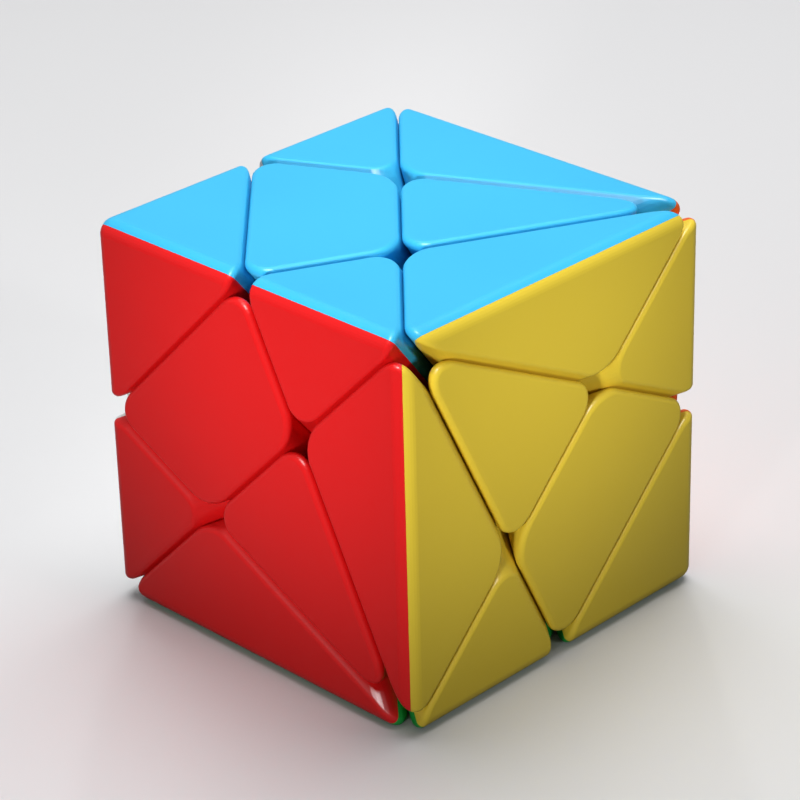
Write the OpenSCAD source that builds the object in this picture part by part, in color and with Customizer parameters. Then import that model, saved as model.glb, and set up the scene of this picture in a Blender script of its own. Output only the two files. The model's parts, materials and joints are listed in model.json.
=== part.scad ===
// A stickerless twisty puzzle cube whose turning axes lean away from its faces.
// Each layer of three turns about an axis a sixth of a turn off the cube's own.
// Origin at the cube's centre, +Z up, top face blue, front (-Y) red.

/* [Cube] */
// Length of each side of the solved cube
cube_side = 57; // [54:0.5:62]

/* [Coloured shells] */
// Running gap between neighbouring pieces
piece_gap = 0.3; // [0.2:0.05:0.4]
// Radius of the cube's own edges
cube_edge_radius = 2.3; // [1.9:0.1:2.8]
// Radius of the small rounding along every cut
edge_fillet = 0.8; // [0.6:0.1:1.2]
// Radius of the edges that stand between two cuts
upright_radius = 3.6; // [3:0.1:4.2]
// Wall of the hollow coloured shells
shell_wall = 1.5; // [1.2:0.1:1.8]

/* [Track and feet] */
// How far the track sphere stands outside the inner corner of the cuts
neck_reach = 5; // [4.5:0.1:6]
// Thickness of the feet that slide inside the track sphere
foot_thickness = 4.8; // [3:0.1:6]
// How deep each inner frame plugs into its shell
plug_depth = 3; // [1.5:0.1:3.5]
// Clearance of a plug inside its shell
plug_clearance = 0.1; // [0.05:0.01:0.2]

/* [Core] */
// Side of the block at the middle of the core
hub_side = 11; // [9:0.5:13]
// Radius of the six arms of the core
arm_radius = 4.2; // [3:0.1:5]
// Distance from the centre to the end of each arm
arm_reach = 12.5; // [11:0.1:13.5]
// Depth of the screw hole in each arm
pilot_depth = 7.5; // [5:0.1:8]

/* [Centre bases] */
// Radius of the stem of each centre base
stem_radius = 5.2; // [5:0.05:5.4]
// Clearance of a stem beside the feet around it
stem_clearance = 0.15; // [0.1:0.01:0.3]
// Thickness of the floor that the spring pushes on
floor_thickness = 1.8; // [1:0.1:2.5]
// Clearance between that floor and the end of the arm
floor_clearance = 0.1; // [0.05:0.01:0.3]

/* [Screws, springs and washers] */
// Radius of the screw shank
shank_radius = 1.5; // [1.2:0.05:1.7]
// Radius of the screw head
head_radius = 2.8; // [2.4:0.1:3.1]
// Height of the screw head
head_height = 2; // [1.5:0.1:2.5]
// Width of the slots of the cross in the screw head
slot_width = 0.8; // [0.5:0.1:1]
// Depth of those slots
slot_depth = 1.1; // [0.6:0.1:1.3]
// Clearance around the shank in the floor and in the washer
shank_clearance = 0.15; // [0.1:0.01:0.2]
// Outer radius of the washer
washer_radius = 3.3; // [3.2:0.05:3.6]
// Thickness of the washer
washer_thickness = 0.6; // [0.4:0.1:1]
// Clearance of the washer in its cup
cup_clearance = 0.3; // [0.2:0.05:0.4]
// Outer radius of the spring
spring_radius = 3.1; // [2.8:0.1:3.2]
// Diameter of the spring wire
spring_wire = 0.6; // [0.4:0.05:0.7]
// Length of the spring between floor and washer
spring_length = 6.5; // [5.5:0.1:7.5]
// Number of turns of the spring
spring_turns = 4; // [3:1:5]

/* [Hidden] */

// Plastic and metal colours
blue = [0.25, 0.72, 1];
red = [0.84, 0.08, 0.1];
yellow = [0.93, 0.85, 0.2];
white = [0.93, 0.93, 0.93];
orange = [1, 0.35, 0.1];
green = [0.1, 0.7, 0.25];
dark = [0.09, 0.09, 0.1];
grey = [0.2, 0.2, 0.22];
steel = [0.75, 0.76, 0.78];

// Outward directions of the six faces
top = [0, 0, 1];
bottom = [0, 0, -1];
front = [0, -1, 0];
back = [0, 1, 0];
right = [1, 0, 0];
left = [-1, 0, 0];
faces = [top, bottom, front, back, right, left];

// The three turning axes, at right angles to each other.
// A piece is named by a sign for each: above (1), between (0) or below (-1) the cuts.
axes = [[-2, -2, -1] / 3, [1, -2, 2] / 3, [-2, 1, 2] / 3];

half_side = cube_side / 2;
// A cut this far from the centre passes through corners and edge middles of the cube
cut = cube_side / 6;
track = cut * sqrt(3) + neck_reach;
foot_cut = stem_radius + stem_clearance + piece_gap / 2;
foot_outer = track - piece_gap / 2;
foot_inner = foot_outer - foot_thickness;
shell_inner = track + piece_gap / 2;
plug_outer = shell_inner + plug_depth;
plug_inset = shell_wall + plug_clearance;

// Heights along each arm
floor_low = arm_reach + floor_clearance;
spring_low = floor_low + floor_thickness;
washer_low = spring_low + spring_length;
head_low = washer_low + washer_thickness;
cup_radius = washer_radius + cup_clearance;
coil_radius = spring_radius - spring_wire / 2;

// Flats that stand for each rounding, and the sides of the spring wire
upright_flats = 3;
cube_edge_flats = 3;
fillet_flats = 3;
wire_sides = 5;
steps_per_turn = 10;
// Directions of the flats around a corner of the cube
corner_mixes = [[1, 1, 1], [2, 1, 1], [1, 2, 1], [1, 1, 2], [1, 2, 2], [2, 1, 2], [2, 2, 1]];
big = 4 * cube_side;
tiny = 0.0001;
merge_distance = 0.01;
$fn = 96;

// Planes are [outward normal, distance from the centre].
function axis_planes(s, i, at) = s[i] == 0
    ? [[axes[i], at - piece_gap / 2], [-axes[i], at - piece_gap / 2]]
    : [[-s[i] * axes[i], -at - piece_gap / 2]];

function cut_planes(s, at) = [for (i = [0:2]) each axis_planes(s, i, at)];

function face_planes() = [for (f = faces) [f, half_side]];

// Flats around the right-angled edge between planes a and b
function round_planes(a, b, radius, flats) = [for (k = [1:flats])
    let (t = 90 * k / (flats + 1))
    [
        cos(t) * a[0] + sin(t) * b[0],
        radius + cos(t) * (a[1] - radius) + sin(t) * (b[1] - radius)
    ]];

// An edge between two cuts reaches the outside only where the third sign is not 0.
function all_upright_planes(s) = [for (i = [0:1]) for (j = [i + 1:2])
    if (s[3 - i - j] != 0)
    for (a = axis_planes(s, i, cut)) for (b = axis_planes(s, j, cut))
    each round_planes(a, b, upright_radius, upright_flats)];

// How far outside plane a point is
function height(p, plane) = p * plane[0] - plane[1];

function reaches_edge(points, a, b) =
    max([for (p = points) min(height(p, a), height(p, b))]) > -merge_distance;

// Flats around the cube's own edges that piece s reaches
function cube_edge_planes(s) =
    let (sides = face_planes())
    let (points = all_corners(concat(sides, cut_planes(s, cut)), 0))
    [for (i = [0:4]) for (j = [i + 1:5])
    if (sides[i][0] * sides[j][0] == 0 && reaches_edge(points, sides[i], sides[j]))
    each round_planes(sides[i], sides[j], cube_edge_radius, cube_edge_flats)];

// Flats around the cube's corner, where piece s has one
function cube_corner_planes(s) = abs(s * [1, 1, 1]) < 3 ? [] : [for (mix = corner_mixes)
    let (corner = s * axes)
    [
        [mix[0] * corner[0], mix[1] * corner[1], mix[2] * corner[2]] / norm(mix),
        cube_edge_radius + (half_side - cube_edge_radius) * (mix * [1, 1, 1]) / norm(mix)
    ]];

// The outside of the cube where piece s is
function outer_planes(s) = concat(face_planes(), cube_edge_planes(s), cube_corner_planes(s));

function inner_planes(s) = concat(cut_planes(s, cut), all_upright_planes(s));

function piece_planes(s) = concat(outer_planes(s), inner_planes(s));

// Where three planes meet when all are moved in by inset
function meet(a, b, c, inset) =
    let (det = a[0] * cross(b[0], c[0]))
    abs(det) < tiny ? undef : (
        (a[1] - inset) * cross(b[0], c[0])
        + (b[1] - inset) * cross(c[0], a[0])
        + (c[1] - inset) * cross(a[0], b[0])
    ) / det;

function is_inside(p, planes, inset) = max([for (q = planes) height(p, q)]) < tiny - inset;

// All corners of the solid that the planes bound
function all_corners(planes, inset) = [
    for (i = [0:len(planes) - 3])
    for (j = [i + 1:len(planes) - 2])
    for (k = [j + 1:len(planes) - 1])
    let (p = meet(planes[i], planes[j], planes[k], inset))
    if (p != undef && is_inside(p, planes, inset)) p
];

// The same with each corner once, where more than three planes meet in it
function once_each(points) = [
    for (i = [0:len(points) - 1])
    if (min([big, for (j = [0:1:i - 1]) norm(points[j] - points[i])]) > merge_distance)
    points[i]
];

function corners(planes, inset) = once_each(all_corners(planes, inset));

// Flats around the fillet between planes a and b, where they share an edge.
// Each touches a ball of the fillet's radius at the corners moved in by that radius.
function edge_planes(a, b, points) = [for (k = [1:fillet_flats])
    let (share = k / (fillet_flats + 1))
    let (mix = (1 - share) * a[0] + share * b[0])
    let (reach = max([for (p = points) mix * p]))
    let (edge = (1 - share) * (a[1] - edge_fillet) + share * (b[1] - edge_fillet))
    if (reach > edge - merge_distance) [mix / norm(mix), reach / norm(mix) + edge_fillet]];

// The fillets run where the outside of the cube meets the cuts.
function fillet_planes(outer, inner) =
    let (points = corners(concat(outer, inner), edge_fillet))
    [for (a = outer) for (b = inner) each edge_planes(a, b, points)];

// Turns the z axis to point along a direction
module along(v) {
    rotate([0, acos(v[2]), atan2(v[1], v[0])]) children();
}

// Everything on the inner side of a plane
module behind(plane, inset) {
    along(plane[0]) translate([0, 0, plane[1] - inset - big / 2]) cube(big, center = true);
}

module behind_all(planes, inset) {
    intersection_for (plane = planes) behind(plane, inset);
}

// A ball on the track, its poles and seam turned away from piece s
module ball(s, radius) {
    along(s * axes / norm(s)) rotate([0, 90, 0]) sphere(r = radius);
}

module ball_shell(s, inner, outer) {
    difference() {
        ball(s, outer);
        ball(s, inner);
    }
}

// Outer form of one piece, with its small and large roundings
module rounded_piece(s) {
    outer = outer_planes(s);
    inner = inner_planes(s);
    behind_all(concat(outer, inner, fillet_planes(outer, inner)), 0);
}

// Coloured shell of piece s on one face, split from its other faces along their bisectors
module shell(s, face, beside = []) {
    difference() {
        rounded_piece(s);
        ball(s, shell_inner);
        behind_all(piece_planes(s), shell_wall);
        for (other = beside) along((other - face) / norm(other - face))
            translate([0, 0, big / 2]) cube(big, center = true);
    }
}

// Inner frame of an edge or corner: a foot inside the track, a neck, and a plug in the shell
module foot(s) {
    intersection() {
        ball_shell(s, foot_inner, foot_outer);
        behind_all(cut_planes(s, foot_cut), 0);
    }
    intersection() {
        ball_shell(s, foot_outer - 1, shell_inner + 1);
        behind_all(cut_planes(s, foot_cut), 0);
        behind_all(piece_planes(s), plug_inset);
    }
    intersection() {
        ball_shell(s, shell_inner, plug_outer);
        behind_all(piece_planes(s), plug_inset);
    }
}

// Base of a centre: a stem with a cup for the spring, and a plug in the two shells
module base(s) {
    difference() {
        union() {
            intersection() {
                ball_shell(s, shell_inner, plug_outer);
                behind_all(piece_planes(s), plug_inset);
            }
            along(s * axes)
                translate([0, 0, floor_low])
                cylinder(r = stem_radius, h = shell_inner + plug_depth / 2 - floor_low);
        }
        along(s * axes) {
            translate([0, 0, spring_low]) cylinder(r = cup_radius, h = cube_side);
            cylinder(r = shank_radius + shank_clearance, h = cube_side);
        }
    }
}

module on_each_arm() {
    for (axis = axes) {
        along(axis) children();
        along(-axis) children();
    }
}

// One screw, its head cut with a cross
module screw() {
    difference() {
        union() {
            translate([0, 0, arm_reach - pilot_depth])
                cylinder(r = shank_radius, h = head_low + head_height / 2 - arm_reach + pilot_depth);
            translate([0, 0, head_low]) cylinder(r = head_radius, h = head_height);
        }
        for (turn = [0, 90])
            rotate(turn) translate([0, 0, head_low + head_height])
            cube([head_radius * 1.4, slot_width, 2 * slot_depth], center = true);
    }
}

module washer() {
    translate([0, 0, washer_low]) difference() {
        cylinder(r = washer_radius, h = washer_thickness);
        translate([0, 0, -washer_thickness])
            cylinder(r = shank_radius + shank_clearance, h = 3 * washer_thickness);
    }
}

// Ring of wire number k along the helix
function wire_ring(k) =
    let (turn = 360 * k / steps_per_turn)
    let (rise = (spring_length - spring_wire) * k / (spring_turns * steps_per_turn))
    [for (side = [0:wire_sides - 1])
        let (t = 360 * side / wire_sides)
        let (r = coil_radius + cos(t) * spring_wire / 2)
        [r * cos(turn), r * sin(turn), spring_low + spring_wire / 2 + rise + sin(t) * spring_wire / 2]];

module spring() {
    last = spring_turns * steps_per_turn;
    points = [for (k = [0:last]) each wire_ring(k)];
    sides = [for (k = [0:last - 1]) for (m = [0:wire_sides - 1])
        let (a = k * wire_sides + m)
        let (b = k * wire_sides + (m + 1) % wire_sides)
        each [[a, b + wire_sides, a + wire_sides], [a, b, b + wire_sides]]];
    start_cap = [for (m = [wire_sides - 1:-1:0]) m];
    end_cap = [for (m = [0:wire_sides - 1]) last * wire_sides + m];
    polyhedron(points, concat(sides, [start_cap, end_cap]), convexity = 10);
}

module center_front_left_red() { color(red) shell([1, 0, 0], front, [left]); }
module center_front_left_white() { color(white) shell([1, 0, 0], left, [front]); }
module center_right_back_yellow() { color(yellow) shell([-1, 0, 0], right, [back]); }
module center_right_back_orange() { color(orange) shell([-1, 0, 0], back, [right]); }
module center_top_front_blue() { color(blue) shell([0, 1, 0], top, [front]); }
module center_top_front_red() { color(red) shell([0, 1, 0], front, [top]); }
module center_bottom_back_green() { color(green) shell([0, -1, 0], bottom, [back]); }
module center_bottom_back_orange() { color(orange) shell([0, -1, 0], back, [bottom]); }
module center_top_left_blue() { color(blue) shell([0, 0, 1], top, [left]); }
module center_top_left_white() { color(white) shell([0, 0, 1], left, [top]); }
module center_bottom_right_green() { color(green) shell([0, 0, -1], bottom, [right]); }
module center_bottom_right_yellow() { color(yellow) shell([0, 0, -1], right, [bottom]); }
module edge_top_blue() { color(blue) shell([0, 1, 1], top); }
module edge_left_white() { color(white) shell([1, 0, 1], left); }
module edge_front_red() { color(red) shell([1, 1, 0], front); }
module edge_bottom_green() { color(green) shell([0, -1, -1], bottom); }
module edge_right_yellow() { color(yellow) shell([-1, 0, -1], right); }
module edge_back_orange() { color(orange) shell([-1, -1, 0], back); }
module edge_top_right_blue() { color(blue) shell([-1, 1, 0], top, [right]); }
module edge_top_right_yellow() { color(yellow) shell([-1, 1, 0], right, [top]); }
module edge_top_back_blue() { color(blue) shell([-1, 0, 1], top, [back]); }
module edge_top_back_orange() { color(orange) shell([-1, 0, 1], back, [top]); }
module edge_front_right_red() { color(red) shell([0, 1, -1], front, [right]); }
module edge_front_right_yellow() { color(yellow) shell([0, 1, -1], right, [front]); }
module edge_bottom_front_green() { color(green) shell([1, 0, -1], bottom, [front]); }
module edge_bottom_front_red() { color(red) shell([1, 0, -1], front, [bottom]); }
module edge_bottom_left_green() { color(green) shell([1, -1, 0], bottom, [left]); }
module edge_bottom_left_white() { color(white) shell([1, -1, 0], left, [bottom]); }
module edge_back_left_orange() { color(orange) shell([0, -1, 1], back, [left]); }
module edge_back_left_white() { color(white) shell([0, -1, 1], left, [back]); }
module corner_top_front_left_blue() { color(blue) shell([1, 1, 1], top, [front, left]); }
module corner_top_front_left_red() { color(red) shell([1, 1, 1], front, [top, left]); }
module corner_top_front_left_white() { color(white) shell([1, 1, 1], left, [top, front]); }
module corner_bottom_back_right_green() { color(green) shell([-1, -1, -1], bottom, [back, right]); }
module corner_bottom_back_right_orange() { color(orange) shell([-1, -1, -1], back, [bottom, right]); }
module corner_bottom_back_right_yellow() { color(yellow) shell([-1, -1, -1], right, [bottom, back]); }
module spike_top_blue() { color(blue) shell([-1, 1, 1], top); }
module spike_front_red() { color(red) shell([1, 1, -1], front); }
module spike_left_white() { color(white) shell([1, -1, 1], left); }
module spike_bottom_green() { color(green) shell([1, -1, -1], bottom); }
module spike_back_orange() { color(orange) shell([-1, -1, 1], back); }
module spike_right_yellow() { color(yellow) shell([-1, 1, -1], right); }

module base_front_left() { color(dark) base([1, 0, 0]); }
module base_right_back() { color(dark) base([-1, 0, 0]); }
module base_top_front() { color(dark) base([0, 1, 0]); }
module base_bottom_back() { color(dark) base([0, -1, 0]); }
module base_top_left() { color(dark) base([0, 0, 1]); }
module base_bottom_right() { color(dark) base([0, 0, -1]); }

module foot_group(signs) { color(dark) for (s = signs) foot(s); }

module top_front_edge_feet() { foot_group([[0, 1, 1], [1, 1, 0], [-1, 1, 0], [0, 1, -1]]); }
module top_front_corner_feet() { foot_group([[1, 1, 1], [-1, 1, 1], [1, 1, -1], [-1, 1, -1]]); }
module middle_edge_feet() { foot_group([[1, 0, 1], [-1, 0, 1], [1, 0, -1], [-1, 0, -1]]); }
module bottom_back_edge_feet() { foot_group([[0, -1, -1], [-1, -1, 0], [1, -1, 0], [0, -1, 1]]); }
module bottom_back_corner_feet() {
    foot_group([[-1, -1, -1], [1, -1, 1], [1, -1, -1], [-1, -1, 1]]);
}

// Block with six arms, each drilled for its screw
module core() {
    color(grey) difference() {
        union() {
            behind_all([for (axis = axes) for (side = [-1, 1]) [side * axis, hub_side / 2]], 0);
            on_each_arm() cylinder(r = arm_radius, h = arm_reach);
        }
        on_each_arm() translate([0, 0, arm_reach - pilot_depth])
            cylinder(r = shank_radius, h = 2 * pilot_depth);
    }
}

module screws() { color(steel) on_each_arm() screw(); }
module washers() { color(steel) on_each_arm() washer(); }
module springs() { color(steel) on_each_arm() spring(); }

center_front_left_red();
center_front_left_white();
center_right_back_yellow();
center_right_back_orange();
center_top_front_blue();
center_top_front_red();
center_bottom_back_green();
center_bottom_back_orange();
center_top_left_blue();
center_top_left_white();
center_bottom_right_green();
center_bottom_right_yellow();
edge_top_blue();
edge_left_white();
edge_front_red();
edge_bottom_green();
edge_right_yellow();
edge_back_orange();
edge_top_right_blue();
edge_top_right_yellow();
edge_top_back_blue();
edge_top_back_orange();
edge_front_right_red();
edge_front_right_yellow();
edge_bottom_front_green();
edge_bottom_front_red();
edge_bottom_left_green();
edge_bottom_left_white();
edge_back_left_orange();
edge_back_left_white();
corner_top_front_left_blue();
corner_top_front_left_red();
corner_top_front_left_white();
corner_bottom_back_right_green();
corner_bottom_back_right_orange();
corner_bottom_back_right_yellow();
spike_top_blue();
spike_front_red();
spike_left_white();
spike_bottom_green();
spike_back_orange();
spike_right_yellow();
base_front_left();
base_right_back();
base_top_front();
base_bottom_back();
base_top_left();
base_bottom_right();
top_front_edge_feet();
top_front_corner_feet();
middle_edge_feet();
bottom_back_edge_feet();
bottom_back_corner_feet();
core();
screws();
washers();
springs();
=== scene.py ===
import itertools
import json
import math

import bmesh
import bpy
import numpy as np
from mathutils import Matrix, Vector


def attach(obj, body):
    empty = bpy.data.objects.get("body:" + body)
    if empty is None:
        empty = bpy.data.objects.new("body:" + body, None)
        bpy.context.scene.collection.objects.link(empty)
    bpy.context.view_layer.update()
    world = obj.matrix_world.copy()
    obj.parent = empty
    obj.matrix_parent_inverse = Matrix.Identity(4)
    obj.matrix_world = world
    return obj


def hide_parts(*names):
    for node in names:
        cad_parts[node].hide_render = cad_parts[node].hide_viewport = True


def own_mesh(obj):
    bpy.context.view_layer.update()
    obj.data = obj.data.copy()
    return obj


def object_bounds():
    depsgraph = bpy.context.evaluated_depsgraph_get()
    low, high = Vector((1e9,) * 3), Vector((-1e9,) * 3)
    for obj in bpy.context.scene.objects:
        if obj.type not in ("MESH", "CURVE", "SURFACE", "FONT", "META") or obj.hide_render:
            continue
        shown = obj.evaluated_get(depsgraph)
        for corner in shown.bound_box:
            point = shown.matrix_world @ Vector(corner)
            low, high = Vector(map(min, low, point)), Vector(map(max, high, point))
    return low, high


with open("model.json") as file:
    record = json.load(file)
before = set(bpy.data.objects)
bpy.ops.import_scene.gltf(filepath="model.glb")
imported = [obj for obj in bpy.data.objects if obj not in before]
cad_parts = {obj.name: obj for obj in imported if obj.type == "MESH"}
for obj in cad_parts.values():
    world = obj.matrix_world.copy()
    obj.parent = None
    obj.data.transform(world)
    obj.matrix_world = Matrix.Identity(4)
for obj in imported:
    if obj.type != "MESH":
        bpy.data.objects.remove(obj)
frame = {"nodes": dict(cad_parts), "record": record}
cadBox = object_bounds()
record = frame["record"]
bodyOf = {node: body for body, members in record["behaviour"]["bodies"].items() for node in members}
slotOf = {part["node"]: part["material_slot"] for part in record["subparts"]}
print("frame loaded with", len(frame["nodes"]), "nodes")


# ---- shader tools ----

class Link:  # one socket; arithmetic on it adds Math nodes
    def __init__(self, maker, socket):
        self.maker = maker
        self.socket = socket

    def maths(self, operation, *values):
        return self.maker.add("ShaderNodeMath", {"operation": operation}, dict(enumerate(values)))

    def __add__(self, other): return self.maths("ADD", self, other)
    def __radd__(self, other): return self.maths("ADD", other, self)
    def __sub__(self, other): return self.maths("SUBTRACT", self, other)
    def __rsub__(self, other): return self.maths("SUBTRACT", other, self)
    def __mul__(self, other): return self.maths("MULTIPLY", self, other)
    def __rmul__(self, other): return self.maths("MULTIPLY", other, self)
    def __truediv__(self, other): return self.maths("DIVIDE", self, other)
    def __rtruediv__(self, other): return self.maths("DIVIDE", other, self)


class Finish:  # one material, or the world, and its nodes
    def __init__(self, name, owner=None):
        self.material = owner or bpy.data.materials.new(name)
        self.material.use_nodes = True
        self.tree = self.material.node_tree
        self.tree.nodes.clear()

    def add(self, kind, settings=None, values=None, output=0):
        node = self.tree.nodes.new(kind)
        for key, value in (settings or {}).items():
            if key == "stops":
                self.setStops(node.color_ramp, value)
            else:
                setattr(node, key, value)
        for key, value in (values or {}).items():
            if isinstance(value, Link):
                self.tree.links.new(value.socket, node.inputs[key])
            else:
                node.inputs[key].default_value = value
        return Link(self, node.outputs[output])

    def setStops(self, ramp, stops):
        while len(ramp.elements) < len(stops):
            ramp.elements.new(1)
        for element, (position, shade) in zip(ramp.elements, stops):
            element.position = position
            element.color = (shade, shade, shade, 1)

    def place(self):
        return self.add("ShaderNodeTexCoord", output="Object")

    def noise(self, scale, detail=2, roughness=0.5):
        return self.add("ShaderNodeTexNoise", None,
                        {"Vector": self.place(), "Scale": scale, "Detail": detail, "Roughness": roughness})

    def ramp(self, factor, *stops):
        return self.add("ShaderNodeValToRGB", {"stops": stops}, {"Fac": factor})

    def blend(self, factor, first, second):
        return self.add("ShaderNodeMix", {"data_type": "RGBA"}, {0: factor, 6: first, 7: second}, 2)

    def bump(self, height, strength, distance):
        return self.add("ShaderNodeBump", None, {"Strength": strength, "Distance": distance, "Height": height})

    def finish(self, shader, kind="ShaderNodeOutputMaterial"):
        output = self.tree.nodes.new(kind)
        self.tree.links.new(shader.socket, output.inputs["Surface"])
        return self.material


def opaque(colour):
    return (*colour, 1)


# ---- camera ----

cameraSetup = {
    "azimuth": 45.084,      # degrees from the front, towards the right
    "elevation": 26.951,
    "roll": -1.522,
    "distance": 0.41952,    # to the plane through the cube's centre
    "aside": (0.000394, -0.000376),
    "lens": 138.94,
    "sensor": 36,
    "nearest": 0.01,
    "farthest": 50,
}


def setUpCamera(setup):
    azimuth, elevation, roll = (math.radians(setup[key]) for key in ("azimuth", "elevation", "roll"))
    backward = Vector((math.sin(azimuth) * math.cos(elevation), -math.cos(azimuth) * math.cos(elevation),
                       math.sin(elevation)))
    level = Vector((0, 0, 1)).cross(backward).normalized()
    upright = backward.cross(level)
    sideways = math.cos(roll) * level + math.sin(roll) * upright
    upward = math.cos(roll) * upright - math.sin(roll) * level
    position = backward * setup["distance"] - sideways * setup["aside"][0] - upward * setup["aside"][1]
    data = bpy.data.cameras.new("camera")
    data.lens = setup["lens"]
    data.sensor_width = setup["sensor"]
    data.clip_start = setup["nearest"]
    data.clip_end = setup["farthest"]
    camera = bpy.data.objects.new("camera", data)
    camera.matrix_world = Matrix.Translation(position) @ Matrix((sideways, upward, backward)).transposed().to_4x4()
    bpy.context.scene.collection.objects.link(camera)
    bpy.context.scene.camera = camera


setUpCamera(cameraSetup)
print("camera ready")


# ---- coloured shells ----

cubeForm = {             # millimetres and degrees
    "pieceGap": 0.2,
    "fillet": 0.8,
    "cubeEdgeRadius": 2.3,
    "cubeEdgeFlats": 8,
    "uprightRadius": 3.6,
    "uprightFlats": 9,
    "filletStep": 10,
    "wall": 1.5,
    "trackReach": 5.15,  # from the inner corner of the cuts to the inside of the shells
    "seam": 0.01,        # hairline between two colours of a piece
    "cornerEvenness": 0.8,   # spreads the planes at a cube corner
    "ballPoints": 700,   # directions on the whole ball that rolls along the fillets
    "ballMargin": 3,
    "trackDetail": 5,
    "sharpAbove": 28,
}
tiny = 1e-6
touching = 0.01
faceOf = {"blue": (0, 0, 1), "green": (0, 0, -1), "red": (0, -1, 0),
          "orange": (0, 1, 0), "yellow": (1, 0, 0), "white": (-1, 0, 0)}
turningAxes = np.array([[-2, -2, -1], [1, -2, 2], [-2, 1, 2]]) / 3
# each piece's side of the three pairs of cuts, and its colours
pieceForms = {
    "center_front_left": ((1, 0, 0), ("red", "white")),
    "center_right_back": ((-1, 0, 0), ("yellow", "orange")),
    "center_top_front": ((0, 1, 0), ("blue", "red")),
    "center_bottom_back": ((0, -1, 0), ("green", "orange")),
    "center_top_left": ((0, 0, 1), ("blue", "white")),
    "center_bottom_right": ((0, 0, -1), ("green", "yellow")),
    "edge_top": ((0, 1, 1), ("blue",)),
    "edge_left": ((1, 0, 1), ("white",)),
    "edge_front": ((1, 1, 0), ("red",)),
    "edge_bottom": ((0, -1, -1), ("green",)),
    "edge_right": ((-1, 0, -1), ("yellow",)),
    "edge_back": ((-1, -1, 0), ("orange",)),
    "edge_top_right": ((-1, 1, 0), ("blue", "yellow")),
    "edge_top_back": ((-1, 0, 1), ("blue", "orange")),
    "edge_front_right": ((0, 1, -1), ("red", "yellow")),
    "edge_bottom_front": ((1, 0, -1), ("green", "red")),
    "edge_bottom_left": ((1, -1, 0), ("green", "white")),
    "edge_back_left": ((0, -1, 1), ("orange", "white")),
    "corner_top_front_left": ((1, 1, 1), ("blue", "red", "white")),
    "corner_bottom_back_right": ((-1, -1, -1), ("green", "orange", "yellow")),
    "spike_top": ((-1, 1, 1), ("blue",)),
    "spike_front": ((1, 1, -1), ("red",)),
    "spike_left": ((1, -1, 1), ("white",)),
    "spike_bottom": ((1, -1, -1), ("green",)),
    "spike_back": ((-1, -1, 1), ("orange",)),
    "spike_right": ((-1, 1, -1), ("yellow",)),
}
millimetre = 0.001
halfSide = max(cadBox[1]) / millimetre
cutDistance = halfSide / 3
shellInside = cutDistance * math.sqrt(3) + cubeForm["trackReach"]


def aroundEdge(first, firstAt, second, secondAt, radius, flats):  # planes that round the edge of two others
    for k in range(1, flats + 1):
        angle = math.pi / 2 * k / (flats + 1)
        along, across = math.cos(angle), math.sin(angle)
        yield (along * first + across * second,
               radius + along * (firstAt - radius) + across * (secondAt - radius))


def aroundCorner(signs):  # planes that round the cube's own corner, where the piece has one
    if abs(sum(signs)) < 3:
        return []
    corner = np.array(signs) @ turningAxes
    radius = cubeForm["cubeEdgeRadius"]
    steps = cubeForm["cubeEdgeFlats"] + 1
    planes = []
    for i, j in itertools.product(range(1, steps), repeat=2):
        if i + j < steps:
            mix = np.array((i, j, steps - i - j)) ** cubeForm["cornerEvenness"]
            mix /= np.linalg.norm(mix)
            planes.append((mix * corner, radius + (halfSide - radius) * mix.sum()))
    return planes


def asArrays(planes):
    return np.array([plane[0] for plane in planes]), np.array([plane[1] for plane in planes])


def piecePlanes(signs):
    sides = [(np.array(face, float), halfSide) for face in faceOf.values()]
    gap = cubeForm["pieceGap"] / 2
    cuts = [[(axis, cutDistance - gap), (-axis, cutDistance - gap)] if sign == 0
            else [(-sign * axis, -cutDistance - gap)] for axis, sign in zip(turningAxes, signs)]
    planes = sides + [plane for pair in cuts for plane in pair]
    sharp = cornersOf(*asArrays(planes))
    for (first, firstAt), (second, secondAt) in itertools.combinations(sides, 2):
        shared = (sharp @ first > firstAt - touching) & (sharp @ second > secondAt - touching)
        if shared.any():
            planes += aroundEdge(first, firstAt, second, secondAt,
                                 cubeForm["cubeEdgeRadius"], cubeForm["cubeEdgeFlats"])
    planes += aroundCorner(signs)
    radius = cubeForm["uprightRadius"]
    for i, j in ((0, 1), (0, 2), (1, 2)):
        if signs[3 - i - j] == 0:
            continue
        for (first, firstAt), (second, secondAt) in itertools.product(cuts[i], cuts[j]):
            planes += aroundEdge(first, firstAt, second, secondAt, radius, cubeForm["uprightFlats"])
    return asArrays(planes)


def cornersOf(normals, distances):
    triples = np.array(list(itertools.combinations(range(len(normals)), 3))).T
    first, second, third = (normals[index] for index in triples)
    volume = (first * np.cross(second, third)).sum(1)
    keep = abs(volume) > tiny
    first, second, third = first[keep], second[keep], third[keep]
    reach = [distances[index][keep, None] for index in triples]
    points = (reach[0] * np.cross(second, third) + reach[1] * np.cross(third, first)
              + reach[2] * np.cross(first, second)) / volume[keep, None]
    points = points[(points @ normals.T - distances < tiny).all(1)]
    return points[np.unique(points.round(4), axis=0, return_index=True)[1]]


def evenDirections(count):
    turn = math.pi * (3 - math.sqrt(5))
    height = 1 - 2 * (np.arange(count) + 0.5) / count
    around = np.arange(count) * turn
    reach = np.sqrt(1 - height ** 2)
    return np.stack([reach * np.cos(around), reach * np.sin(around), height], 1)


ballDirections = evenDirections(cubeForm["ballPoints"])


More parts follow.
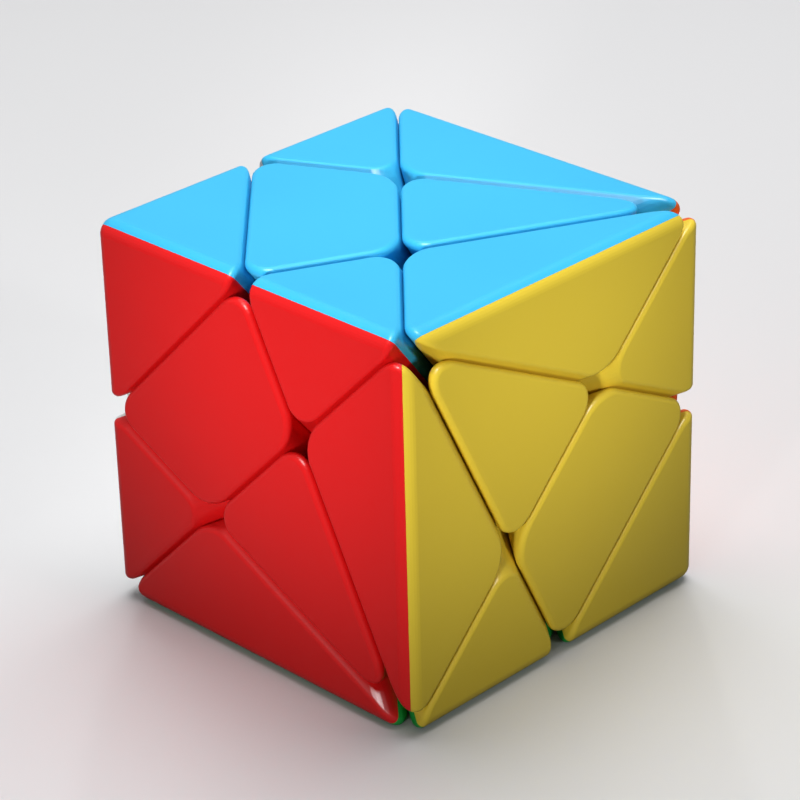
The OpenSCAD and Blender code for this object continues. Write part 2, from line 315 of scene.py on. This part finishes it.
def cornerDirections(active):  # directions in which the rounding at a corner faces
    directions = list(active)
    sides = []
    for first, second in itertools.combinations(active, 2):
        side = np.cross(first, second)
        if np.linalg.norm(side) < tiny:
            continue
        side /= np.linalg.norm(side)
        heights = active @ side
        if (heights < tiny).all():
            side = -side
        elif not (heights > -tiny).all():
            continue
        sides.append(side)
        angle = math.acos(max(-1, min(1, first @ second)))
        steps = math.ceil(math.degrees(angle) / cubeForm["filletStep"])
        for k in range(1, steps):
            directions.append((math.sin(angle * (1 - k / steps)) * first + math.sin(angle * k / steps) * second)
                              / math.sin(angle))
    inside = (ballDirections @ np.array(sides).T > math.sin(math.radians(cubeForm["ballMargin"]))).all(1)
    return np.concatenate([directions, ballDirections[inside]])


def roundedPoints(normals, distances):
    radius = cubeForm["fillet"]
    points = []
    for corner in cornersOf(normals, distances - radius):
        active = normals[abs(normals @ corner - distances + radius) < 10 * tiny]
        hidden = np.linalg.norm(corner) < shellInside - 2 * radius
        directions = active if hidden else cornerDirections(active)
        points.append(corner + radius * directions)
    return np.concatenate(points)


def mergeFlats(mesh, distance, degrees):
    bmesh.ops.remove_doubles(mesh, verts=mesh.verts, dist=distance)
    bmesh.ops.dissolve_limit(mesh, angle_limit=math.radians(degrees), verts=mesh.verts, edges=mesh.edges)


def hullOf(points):
    mesh = bmesh.new()
    for point in points:
        mesh.verts.new(point)
    bmesh.ops.convex_hull(mesh, input=mesh.verts)
    loose = [vertex for vertex in mesh.verts if not vertex.link_faces]
    bmesh.ops.delete(mesh, geom=loose, context="VERTS")
    mergeFlats(mesh, 0.001, 0.2)
    bmesh.ops.recalc_face_normals(mesh, faces=mesh.faces)
    return mesh


def cutAway(mesh, normal, distance):
    bmesh.ops.bisect_plane(mesh, geom=mesh.verts[:] + mesh.edges[:] + mesh.faces[:],
                           plane_co=Vector(normal) * distance, plane_no=normal, clear_outer=True)
    rim = [edge for edge in mesh.edges if edge.is_boundary]
    bmesh.ops.holes_fill(mesh, edges=rim, sides=0)


def meshObject(name, mesh):
    data = bpy.data.meshes.new(name)
    mesh.to_mesh(data)
    mesh.free()
    made = bpy.data.objects.new(name, data)
    bpy.context.scene.collection.objects.link(made)
    return made


def carve(target, tools):
    for tool in tools:
        modifier = target.modifiers.new("carve", "BOOLEAN")
        modifier.operation = "DIFFERENCE"
        modifier.solver = "MANIFOLD"
        modifier.object = tool
    return applied(target)


def applied(target):
    evaluated = target.evaluated_get(bpy.context.evaluated_depsgraph_get())
    data = bpy.data.meshes.new_from_object(evaluated)
    target.modifiers.clear()
    old = target.data
    target.data = data
    bpy.data.meshes.remove(old)
    return target


def remove(target):
    data = target.data
    bpy.data.objects.remove(target)
    bpy.data.meshes.remove(data)


def makeBall():  # hollows the shells where the feet run
    mesh = bmesh.new()
    bmesh.ops.create_icosphere(mesh, subdivisions=cubeForm["trackDetail"], radius=shellInside)
    return meshObject("ball", mesh)


def smoothShell(shell):
    data = shell.data
    mesh = bmesh.new()
    mesh.from_mesh(data)
    mergeFlats(mesh, 0.002, 0.3)
    mesh.to_mesh(data)
    mesh.free()
    data.transform(Matrix.Scale(millimetre, 4))
    data.shade_smooth()
    data.set_sharp_from_angle(angle=math.radians(cubeForm["sharpAbove"]))
    modifier = shell.modifiers.new("even shading", "WEIGHTED_NORMAL")
    modifier.mode = "FACE_AREA"
    modifier.weight = 50
    modifier.keep_sharp = True
    return applied(shell)


def makeShells():
    ball = makeBall()
    shells = {}
    for piece, (signs, colours) in pieceForms.items():
        normals, distances = piecePlanes(signs)
        points = roundedPoints(normals, distances)
        hollow = meshObject("hollow", hullOf(cornersOf(normals, distances - cubeForm["wall"])))
        for colour in colours:
            mesh = hullOf(points)
            for other in colours:
                if other != colour:
                    normal = (np.array(faceOf[other]) - np.array(faceOf[colour])) / math.sqrt(2)
                    cutAway(mesh, normal, -cubeForm["seam"] / 2)
            node = f"{piece}_{colour}"
            shell = smoothShell(carve(meshObject(f"shell.{node}", mesh), (ball, hollow)))
            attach(shell, bodyOf[node])
            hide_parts(node)
            shells[node] = shell
        remove(hollow)
    remove(ball)
    return shells


shells = makeShells()
print("shells:", len(shells), "with", sum(len(shell.data.polygons) for shell in shells.values()), "faces")


# ---- springs ----

springForm = {           # millimetres, heights measured along the arms
    "low": 14.4,
    "high": 20.9,
    "radius": 3.1,
    "wire": 0.6,
    "turns": 4,
    "stepsPerTurn": 28,
    "sides": 10,
}
centres = ("front_left", "top_front", "top_left", "right_back", "bottom_back", "bottom_right")
lifts = {joint["name"]: joint for joint in record["behaviour"]["joints"]}


def springMesh(form):
    mesh = bmesh.new()
    wire = form["wire"] / 2
    steps = form["turns"] * form["stepsPerTurn"]
    rise = form["high"] - form["low"] - form["wire"]
    rings = []
    for k in range(steps + 1):
        turn = math.tau * k / form["stepsPerTurn"]
        ring = []
        for side in range(form["sides"]):
            around = math.tau * side / form["sides"]
            reach = form["radius"] - wire + wire * math.cos(around)
            height = form["low"] + wire + rise * k / steps + wire * math.sin(around)
            ring.append(mesh.verts.new((reach * math.cos(turn), reach * math.sin(turn), height)))
        rings.append(ring)
    for first, second in zip(rings, rings[1:]):
        for side in range(form["sides"]):
            after = (side + 1) % form["sides"]
            mesh.faces.new((first[side], first[after], second[after], second[side]))
    mesh.faces.new(rings[0])
    mesh.faces.new(rings[-1])
    bmesh.ops.recalc_face_normals(mesh, faces=mesh.faces)
    return mesh


def makeSprings(form):
    springs = {}
    for centre, axis in zip(centres, np.concatenate([turningAxes, -turningAxes])):
        spring = meshObject(f"spring.{centre}", springMesh(form))
        arm = Vector(axis)
        turned = Vector((0, 0, 1)).rotation_difference(arm).to_matrix().to_4x4()
        spring.data.transform(Matrix.Scale(millimetre, 4) @ turned)
        spring.data.shade_smooth()
        lift = lifts[f"{centre}_lift"]["range_m"][1]
        length = (form["high"] - form["low"]) * millimetre
        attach(spring, bodyOf["springs"])
        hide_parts("springs")
        1 - lift / length
        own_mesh(spring)
        springs[centre] = spring
    return springs


springs = makeSprings(springForm)
print("springs:", len(springs))


# ---- finishes ----

plasticLook = {
    "clouds": 45,            # clouds, smudges, dust and peel are counts per metre
    "smudges": 70,
    "smudgeRoughness": 0.06,
    "roughness": 0.285,
    "dust": 260,
    "dustSize": 0.028,
    "dustShare": 0.3,
    "dustPatches": 78,
    "dustRoughness": 0.2,
    "dustColour": (0.80, 0.82, 0.84),
    "peel": 900,
    "peelStrength": 0.06,
    "peelDepth": 0.00001,
}
plasticColours = {   # main colour, and the slightly deeper one of its clouds
    "blue_plastic": ((0.047, 0.515, 0.870), (0.043, 0.495, 0.840)),
    "red_plastic": ((0.820, 0.011, 0.012), (0.790, 0.010, 0.011)),
    "yellow_plastic": ((0.870, 0.645, 0.050), (0.850, 0.620, 0.046)),
    "white_plastic": ((0.860, 0.860, 0.850), (0.830, 0.830, 0.820)),
    "orange_plastic": ((0.900, 0.140, 0.012), (0.860, 0.125, 0.011)),
    "green_plastic": ((0.020, 0.420, 0.070), (0.017, 0.390, 0.062)),
}


def mouldedPlastic(slot, colours, look):
    finish = Finish(slot)
    clouds = finish.ramp(finish.noise(look["clouds"], 2, 0.4), (0.3, 0), (0.7, 1))
    base = finish.blend(clouds, opaque(colours[0]), opaque(colours[1]))
    specks = finish.add("ShaderNodeTexVoronoi", None, {"Vector": finish.place(), "Scale": look["dust"]})
    sparse = finish.ramp(finish.noise(look["dustPatches"], 1), (0.62, 0), (0.66, 1))
    dust = finish.ramp(specks / look["dustSize"], (0.5, 1), (1, 0)) * sparse
    base = finish.blend(dust * look["dustShare"], base, opaque(look["dustColour"]))
    smudges = finish.noise(look["smudges"], 2, 0.5)
    shader = finish.add("ShaderNodeBsdfPrincipled", None, {
        "Base Color": base,
        "Roughness": look["roughness"] + smudges * look["smudgeRoughness"] + dust * look["dustRoughness"],
        "IOR": 1.5,
        "Normal": finish.bump(finish.noise(look["peel"], 1, 0.5), look["peelStrength"], look["peelDepth"]),
    })
    return finish.finish(shader)


matteLook = {
    "inner_plastic": {"colour": (0.012, 0.012, 0.014), "worn": (0.035, 0.035, 0.038), "wornShare": 0.6,
                      "patches": 120, "roughness": 0.5, "grain": 900, "grainDepth": 0.00003},
    "core_plastic": {"colour": (0.045, 0.045, 0.05), "worn": (0.08, 0.08, 0.085), "wornShare": 0.6,
                     "patches": 120, "roughness": 0.55, "grain": 700, "grainDepth": 0.00003},
}


def mattePlastic(slot, look):
    finish = Finish(slot)
    grain = finish.noise(look["grain"], 3, 0.6)
    patches = finish.ramp(finish.noise(look["patches"], 3), (0.4, 0), (0.7, 1))
    shader = finish.add("ShaderNodeBsdfPrincipled", None, {
        "Base Color": finish.blend(patches * look["wornShare"], opaque(look["colour"]), opaque(look["worn"])),
        "Roughness": look["roughness"] + grain * 0.15,
        "Normal": finish.bump(grain, 0.3, look["grainDepth"]),
    })
    return finish.finish(shader)


steelLook = {   # lines are counts per metre along X, Y and Z
    "screw_steel": {"colour": (0.55, 0.55, 0.57), "stain": (0.38, 0.37, 0.36), "stains": 500,
                    "roughness": 0.28, "lines": (300, 300, 4000), "lineDepth": 0.00001},
    "washer_steel": {"colour": (0.6, 0.6, 0.62), "stain": (0.45, 0.44, 0.43), "stains": 500,
                     "roughness": 0.32, "lines": (2500, 2500, 400), "lineDepth": 0.00001},
    "spring_steel": {"colour": (0.42, 0.42, 0.44), "stain": (0.3, 0.29, 0.28), "stains": 500,
                     "roughness": 0.3, "lines": (900, 900, 900), "lineDepth": 0.00001},
}


def brushedSteel(slot, look):
    finish = Finish(slot)
    stretched = finish.add("ShaderNodeVectorMath", {"operation": "MULTIPLY"}, {0: finish.place(), 1: look["lines"]})
    lines = finish.add("ShaderNodeTexNoise", None, {"Vector": stretched, "Scale": 1, "Detail": 3})
    shader = finish.add("ShaderNodeBsdfPrincipled", None, {
        "Base Color": finish.blend(finish.noise(look["stains"], 3), opaque(look["colour"]), opaque(look["stain"])),
        "Metallic": 1,
        "Roughness": look["roughness"] + lines * 0.2,
        "Normal": finish.bump(lines, 0.2, look["lineDepth"]),
    })
    return finish.finish(shader)


finishes = {slot: mouldedPlastic(slot, colours, plasticLook) for slot, colours in plasticColours.items()}
finishes |= {slot: mattePlastic(slot, look) for slot, look in matteLook.items()}
finishes |= {slot: brushedSteel(slot, look) for slot, look in steelLook.items()}


def dress(target, slot):
    target.data.materials.clear()
    target.data.materials.append(finishes[slot])


for node, piece in shells.items():
    dress(piece, slotOf[node])
for piece in springs.values():
    dress(piece, slotOf["springs"])
for node, piece in frame["nodes"].items():
    dress(piece, slotOf[node])
print("finishes:", len(finishes))


# ---- floor, backdrop and light ----

stageSetup = {
    "floorSize": 6,
    "floorDrop": 0.0001,   # keeps it clear of the faces that stand on it
    "mirrored": 0.2,       # share of the pale background that gloss shows
    "cameraFloor": (0.76, 0.76, 0.77),   # as the camera sees it
    "bounceFloor": (0.03, 0.03, 0.03),   # as it lights the cube
    "roughness": 0.6,
    "sky": 0.12,           # strength of the light from all round
    "cameraSky": 0.82,
}
lamps = {   # place and aim in metres, size in metres, power in watts, spread in degrees
    "overhead": {"place": (-0.1, 0.12, 0.55), "aim": (0, 0, 0), "size": 0.5, "power": 4.0, "spread": 180,
                 "shades": True, "glints": False},
    "front": {"place": (0.14, -0.34, 0.07), "aim": (0.005, -0.0285, 0.0218), "size": 0.05, "power": 0.0178,
              "spread": 19.5, "shades": True, "glints": False},
    "right": {"place": (0.34, 0.02, 0.10), "aim": (0.0285, 0.002, 0.0180), "size": 0.05, "power": 0.0058,
              "spread": 17, "shades": True, "glints": False},
    "behind": {"place": (-0.34, 0.34, 0.04), "aim": (0, 0, 0), "size": 0.05, "power": 0.023, "spread": 16,
               "shades": True, "glints": False},
    "beside camera": {"place": (0.17, -0.20, 0.53), "aim": (0, 0, 0), "size": 0.2, "power": 4.0, "spread": 180,
                      "shades": False, "glints": True},
}


def rayShare(finish, setup):  # how much of the pale background a ray gets to see
    camera, glossy, through = (finish.add("ShaderNodeLightPath", output=f"Is {kind} Ray")
                               for kind in ("Camera", "Glossy", "Transmission"))
    return camera.maths("MAXIMUM", camera.maths("MAXIMUM", camera, through), glossy * setup["mirrored"])


def makeFloor(setup):
    mesh = bmesh.new()
    bmesh.ops.create_grid(mesh, x_segments=1, y_segments=1, size=setup["floorSize"] / 2)
    floor = meshObject("floor", mesh)
    floor.location.z = cadBox[0][2] - setup["floorDrop"]
    finish = Finish("floor")
    shown = rayShare(finish, setup)
    shader = finish.add("ShaderNodeBsdfPrincipled", None, {
        "Base Color": finish.blend(shown, opaque(setup["bounceFloor"]), opaque(setup["cameraFloor"])),
        "Roughness": setup["roughness"],
    })
    floor.data.materials.append(finish.finish(shader))


def makeSky(setup):
    world = bpy.data.worlds.new("sky")
    bpy.context.scene.world = world
    sky = Finish("sky", world)
    strength = setup["sky"] + rayShare(sky, setup) * (setup["cameraSky"] - setup["sky"])
    glow = sky.add("ShaderNodeBackground", None, {"Color": opaque((1, 1, 1)), "Strength": strength})
    sky.finish(glow, "ShaderNodeOutputWorld")


def makeLamp(name, setup):
    data = bpy.data.lights.new(name, "AREA")
    data.shape = "SQUARE"
    data.size = setup["size"]
    data.energy = setup["power"]
    data.spread = math.radians(setup["spread"])
    lamp = bpy.data.objects.new(name, data)
    lamp.visible_diffuse = setup["shades"]
    lamp.visible_glossy = setup["glints"]
    lamp.location = setup["place"]
    lamp.rotation_euler = (Vector(setup["aim"]) - Vector(setup["place"])).to_track_quat("-Z", "Y").to_euler()
    bpy.context.scene.collection.objects.link(lamp)


makeFloor(stageSetup)
makeSky(stageSetup)
for name, setup in lamps.items():
    makeLamp(name, setup)
bpy.context.scene.view_settings.view_transform = "Standard"
print("stage and light ready")
